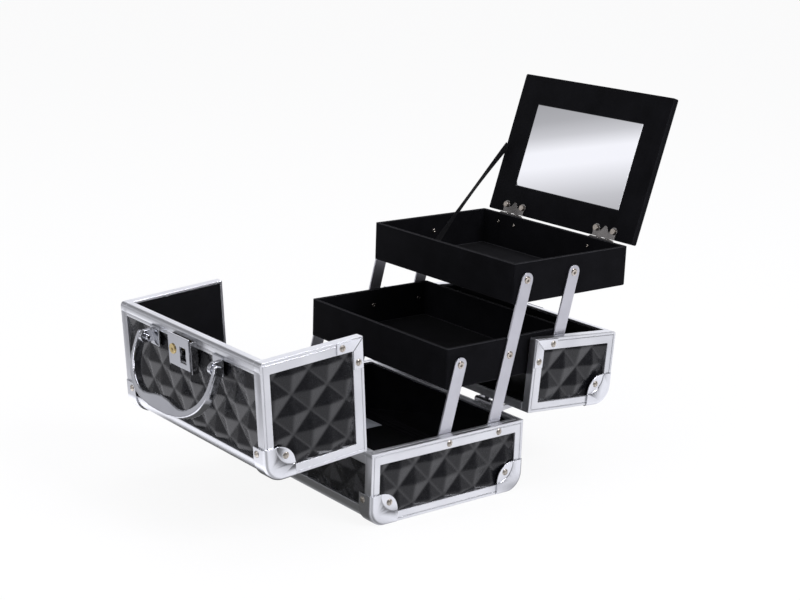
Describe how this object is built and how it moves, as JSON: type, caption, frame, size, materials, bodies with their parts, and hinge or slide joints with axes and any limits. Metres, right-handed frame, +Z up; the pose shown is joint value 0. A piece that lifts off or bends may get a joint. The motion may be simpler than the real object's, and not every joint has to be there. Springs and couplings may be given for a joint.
{
  "type": "vanity box with mirror",
  "caption": "Small aluminium-framed vanity case, open: split lid swung to front and rear, cantilever trays raised on arms, mirror lid, bail handle and key lock",
  "frame": {"origin": "centre of the base's flat underside", "axes": "+X along the case's length to the right seen from the front, -Y towards the lid with the handle and lock, +Z up"},
  "size_m": [0.204, 0.4445, 0.3066],
  "materials": {
    "fibreboard": "matt",
    "skin": "satin, pressed in diamonds",
    "lining": "flocked",
    "frame": "satin anodised",
    "nickel": "bright nickel plate",
    "steel": "zinc plated",
    "arm": "satin",
    "brass": "polished",
    "tray": "flocked over board",
    "ribbon": "woven",
    "glass": "polished",
    "film": "clear"
  },
  "bodies": {
    "base": {"base_board": "fibreboard", "base_panels": "skin", "base_bottom_panel": "skin", "base_lining": "lining", "base_end_frames": "frame", "base_rails": "frame", "base_ball_corners": "nickel", "base_screws": "steel", "front_hinge_base_leaves": "steel", "front_hinge_pins": "steel", "rear_hinge_base_leaves": "steel", "base_pivot_screws": "steel", "key_pouch": "film", "keys": "nickel"},
    "rear_hinge_pins": {"rear_hinge_pins": "steel"},
    "front_lid": {"front_lid_board": "fibreboard", "front_lid_panels": "skin", "front_lid_lining": "lining", "front_lid_end_frames": "frame", "front_lid_rails": "frame", "front_lid_ball_corners": "nickel", "front_lid_mitre_plates": "nickel", "front_lid_screws": "steel", "front_hinge_lid_leaves": "steel", "handle_brackets": "nickel", "lock_case": "nickel", "latch_pin": "steel"},
    "handle": {"handle": "nickel"},
    "latch": {"latch_lever": "nickel"},
    "lock_cylinder": {"lock_cylinder": "brass"},
    "rear_lid": {"rear_lid_board": "fibreboard", "rear_lid_panels": "skin", "rear_lid_lining": "lining", "rear_lid_end_frames": "frame", "rear_lid_rails": "frame", "rear_lid_ball_corners": "nickel", "rear_lid_mitre_plates": "nickel", "rear_lid_screws": "steel", "rear_hinge_lid_leaves": "steel", "hasp_plate": "nickel", "hasp_pin": "steel"},
    "hasp": {"hasp_tongue": "nickel"},
    "short_arms": {"short_arms": "arm"},
    "long_arms": {"long_arms": "arm"},
    "rear_arms": {"rear_arms": "arm"},
    "lower_tray": {"lower_tray": "tray", "lower_tray_rivets": "steel"},
    "upper_tray": {"upper_tray": "tray", "upper_tray_rivets": "steel", "mirror_hinge_tray_leaves": "nickel", "mirror_hinge_pins": "nickel", "mirror_hinge_rivets": "nickel", "ribbon_stay": "ribbon"},
    "mirror_lid": {"mirror_board": "tray", "mirror_glass": "glass", "mirror_hinge_lid_leaves": "nickel", "mirror_lid_rivets": "steel"}
  },
  "joints": [
    {"name": "tray_swing", "type": "hinge", "parent": "base", "child": "long_arms", "pos_m": [0, 0.0507, 0.0534], "axis": [1, 0, 0], "range_deg": [0, 70.9]},
    {"name": "short_arm_swing", "type": "hinge", "parent": "base", "child": "short_arms", "pos_m": [0, -0.0003, 0.0534], "axis": [1, 0, 0], "range_deg": [0, 70.9]},
    {"name": "lower_tray_level", "type": "hinge", "parent": "long_arms", "child": "lower_tray", "pos_m": [0, 0.06545, 0.113], "axis": [1, 0, 0], "range_deg": [-70.9, 0]},
    {"name": "upper_tray_level", "type": "hinge", "parent": "long_arms", "child": "upper_tray", "pos_m": [0, 0.0802, 0.1726], "axis": [1, 0, 0], "range_deg": [-70.9, 0]},
    {"name": "rear_arm_swing", "type": "hinge", "parent": "lower_tray", "child": "rear_arms", "pos_m": [0, 0.11645, 0.113], "axis": [1, 0, 0], "range_deg": [0, 70.9]},
    {"name": "mirror_swing", "type": "hinge", "parent": "upper_tray", "child": "mirror_lid", "pos_m": [0, 0.1949, 0.1855], "axis": [1, 0, 0], "range_deg": [0, 107.7], "deforming": ["ribbon_stay"]},
    {"name": "rear_pin_swing", "type": "hinge", "parent": "base", "child": "rear_hinge_pins", "pos_m": [0, 0.0807, 0.0593], "axis": [1, 0, 0], "range_deg": [0, 68.7]},
    {"name": "rear_lid_swing", "type": "hinge", "parent": "rear_hinge_pins", "child": "rear_lid", "pos_m": [0, 0.0807, 0.0593], "axis": [1, 0, 0], "range_deg": [0, 25.5]},
    {"name": "hasp_swing", "type": "hinge", "parent": "rear_lid", "child": "hasp", "pos_m": [0, 0.17779, 0.11574], "axis": [1, 0, 0], "range_deg": [0, 165]},
    {"name": "front_lid_swing", "type": "hinge", "parent": "base", "child": "front_lid", "pos_m": [0, -0.0807, 0.0593], "axis": [-1, 0, 0], "range_deg": [0, 94.5]},
    {"name": "handle_swing", "type": "hinge", "parent": "front_lid", "child": "handle", "pos_m": [0, -0.18473, 0.13206], "axis": [-1, 0, 0], "range_deg": [0, 134.6]},
    {"name": "latch_swing", "type": "hinge", "parent": "front_lid", "child": "latch", "pos_m": [0, -0.18048, 0.12136], "axis": [1, 0, 0], "range_deg": [0, 95]},
    {"name": "key_turn", "type": "hinge", "parent": "latch", "child": "lock_cylinder", "pos_m": [-0.00825, -0.18357, 0.13265], "axis": [0, -0.9969, -0.0785], "range_deg": [0, 90]}
  ],
  "couplings": [
    {"joint": "short_arm_swing", "follows": "tray_swing", "ratio": 1},
    {"joint": "lower_tray_level", "follows": "tray_swing", "ratio": -1},
    {"joint": "upper_tray_level", "follows": "tray_swing", "ratio": -1},
    {"joint": "rear_arm_swing", "follows": "tray_swing", "ratio": 1},
    {"joint": "mirror_swing", "follows": "tray_swing", "ratio": 1.519},
    {"joint": "rear_pin_swing", "follows": "tray_swing", "ratio": 0.96897}
  ]
}
